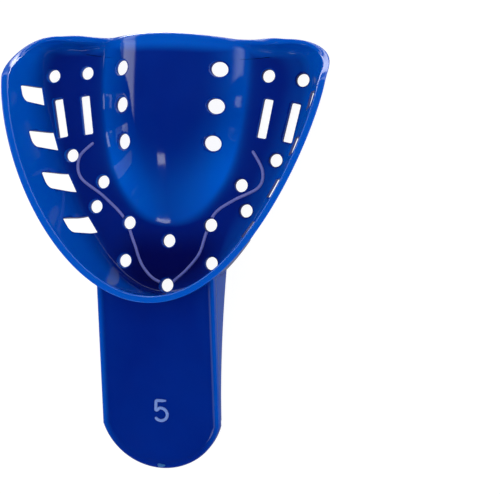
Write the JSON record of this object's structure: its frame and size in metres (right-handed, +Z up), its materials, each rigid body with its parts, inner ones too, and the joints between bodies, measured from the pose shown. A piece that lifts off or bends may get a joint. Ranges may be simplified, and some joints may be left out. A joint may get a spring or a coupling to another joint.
{
  "type": "dental impression tray",
  "caption": "Perforated horseshoe trough for an upper dental impression, with flared walls, side windows, a palate vault and a flat sloping handle.",
  "frame": {"origin": "on the left-right midline at the underside of the trough floor, between the two midline holes", "axes": "+X is the tray's right seen from above with the handle towards the viewer, +Y from the handle to the rear edge, +Z up into the trough"},
  "size_m": [0.0654, 0.0852, 0.0207],
  "materials": {
    "tray_plastic": "glossy, dark blue, slightly translucent",
    "raised_marks": "the same blue plastic, finely frosted, so it looks pale lavender"
  },
  "bodies": {
    "root": {"trough_floor": "tray_plastic", "labial_flange": "tray_plastic", "left_buccal_flange": "tray_plastic", "right_buccal_flange": "tray_plastic", "left_rear_lip": "tray_plastic", "right_rear_lip": "tray_plastic", "rim_bead": "tray_plastic", "palate_vault": "tray_plastic", "vault_rear_lip": "tray_plastic", "handle_plate": "tray_plastic", "handle_rail": "tray_plastic", "left_handle_skirt": "tray_plastic", "right_handle_skirt": "tray_plastic", "left_arch_guide": "raised_marks", "right_arch_guide": "raised_marks", "size_numeral": "raised_marks", "gate_mark": "raised_marks"}
  },
  "joints": []
}
